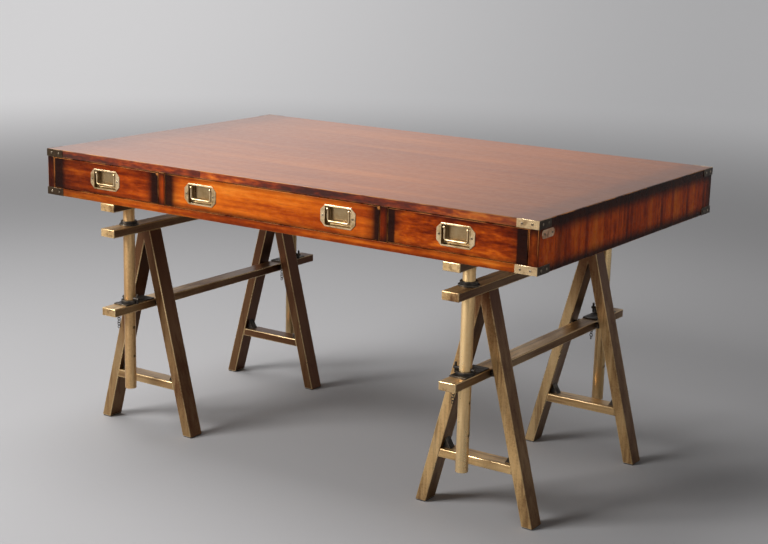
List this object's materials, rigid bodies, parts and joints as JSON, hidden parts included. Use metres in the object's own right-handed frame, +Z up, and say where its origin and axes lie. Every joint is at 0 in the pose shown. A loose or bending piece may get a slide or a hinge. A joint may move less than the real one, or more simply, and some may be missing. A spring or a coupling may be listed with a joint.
{
  "type": "campaign desk",
  "caption": "Campaign desk: a brass-bound drawer case on metal trestles, raised and lowered on pinned posts, with flush bail pulls.",
  "frame": {"origin": "on the floor, under the middle of the desk's bounding box", "axes": "+X along the desk to the right as seen from its drawer side, +Z up, the drawers face -Y"},
  "size_m": [1.5054, 0.9759, 0.78],
  "materials": {
    "case_wood": "polished, worn at the edges",
    "drawer_wood": "polished, with dark scorched bands at both ends",
    "inner_wood": "plain, waxed",
    "antique_brass": "aged, satin",
    "bright_brass": "polished on the rims",
    "black_iron": "blackened, semi-matt",
    "rubber": "matt"
  },
  "bodies": {
    "trestles": {"beam_bolts": "black_iron", "brace_gussets": "black_iron", "chain_eyes": "bright_brass", "foot_glides": "rubber", "left_braces": "antique_brass", "left_front_legs": "antique_brass", "left_lower_beam": "antique_brass", "left_rear_legs": "antique_brass", "left_upper_beam": "antique_brass", "lower_collars": "black_iron", "right_braces": "antique_brass", "right_front_legs": "antique_brass", "right_lower_beam": "antique_brass", "right_rear_legs": "antique_brass", "right_upper_beam": "antique_brass", "tether_chains": "black_iron", "upper_collars": "black_iron"},
    "top": {"back_panel": "case_wood", "bearer_screws": "black_iron", "bottom_panel": "inner_wood", "bracket_screws": "bright_brass", "corner_brackets": "bright_brass", "drawer_dividers": "case_wood", "drawer_runners": "inner_wood", "drawer_stops": "inner_wood", "front_rail": "case_wood", "left_bearer": "antique_brass", "left_posts": "antique_brass", "left_side_panel": "case_wood", "right_bearer": "antique_brass", "right_posts": "antique_brass", "right_side_panel": "case_wood", "side_plates": "bright_brass", "top_panel": "case_wood"},
    "left_drawer": {"left_drawer_back": "inner_wood", "left_drawer_bottom": "inner_wood", "left_drawer_front": "drawer_wood", "left_drawer_sides": "inner_wood", "left_pull_plate": "bright_brass", "left_pull_screws": "bright_brass"},
    "middle_drawer": {"middle_drawer_back": "inner_wood", "middle_drawer_bottom": "inner_wood", "middle_drawer_front": "drawer_wood", "middle_drawer_sides": "inner_wood", "middle_pull_plate": "bright_brass", "middle_pull_screws": "bright_brass"},
    "right_drawer": {"right_drawer_back": "inner_wood", "right_drawer_bottom": "inner_wood", "right_drawer_front": "drawer_wood", "right_drawer_sides": "inner_wood", "right_pull_plate": "bright_brass", "right_pull_screws": "bright_brass"},
    "left_bail": {"left_bail": "bright_brass"},
    "middle_left_bail": {"middle_left_bail": "bright_brass"},
    "middle_right_bail": {"middle_right_bail": "bright_brass"},
    "right_bail": {"right_bail": "bright_brass"},
    "left_front_height_pin": {"left_front_height_pin": "black_iron"},
    "left_rear_height_pin": {"left_rear_height_pin": "black_iron"},
    "right_front_height_pin": {"right_front_height_pin": "black_iron"},
    "right_rear_height_pin": {"right_rear_height_pin": "black_iron"}
  },
  "joints": [
    {"name": "height_adjust", "type": "slide", "parent": "trestles", "child": "top", "axis": [0, 0, 1], "range_m": [0, 0.162]},
    {"name": "left_drawer_slide", "type": "slide", "parent": "top", "child": "left_drawer", "axis": [0, -1, 0], "range_m": [0, 0.38]},
    {"name": "middle_drawer_slide", "type": "slide", "parent": "top", "child": "middle_drawer", "axis": [0, -1, 0], "range_m": [0, 0.38]},
    {"name": "right_drawer_slide", "type": "slide", "parent": "top", "child": "right_drawer", "axis": [0, -1, 0], "range_m": [0, 0.38]},
    {"name": "left_bail_swing", "type": "hinge", "parent": "left_drawer", "child": "left_bail", "pos_m": [-0.5395, -0.4835, 0.734], "axis": [-1, 0, 0], "range_deg": [0, 90]},
    {"name": "middle_left_bail_swing", "type": "hinge", "parent": "middle_drawer", "child": "middle_left_bail", "pos_m": [-0.213, -0.4835, 0.734], "axis": [-1, 0, 0], "range_deg": [0, 90]},
    {"name": "middle_right_bail_swing", "type": "hinge", "parent": "middle_drawer", "child": "middle_right_bail", "pos_m": [0.213, -0.4835, 0.734], "axis": [-1, 0, 0], "range_deg": [0, 90]},
    {"name": "right_bail_swing", "type": "hinge", "parent": "right_drawer", "child": "right_bail", "pos_m": [0.5395, -0.4835, 0.734], "axis": [-1, 0, 0], "range_deg": [0, 90]},
    {"name": "left_front_height_pin_slide", "type": "slide", "parent": "top", "child": "left_front_height_pin", "axis": [1, 0, 0], "range_m": [0, 0.06]},
    {"name": "left_rear_height_pin_slide", "type": "slide", "parent": "top", "child": "left_rear_height_pin", "axis": [1, 0, 0], "range_m": [0, 0.06]},
    {"name": "right_front_height_pin_slide", "type": "slide", "parent": "top", "child": "right_front_height_pin", "axis": [-1, 0, 0], "range_m": [0, 0.06]},
    {"name": "right_rear_height_pin_slide", "type": "slide", "parent": "top", "child": "right_rear_height_pin", "axis": [-1, 0, 0], "range_m": [0, 0.06]}
  ]
}
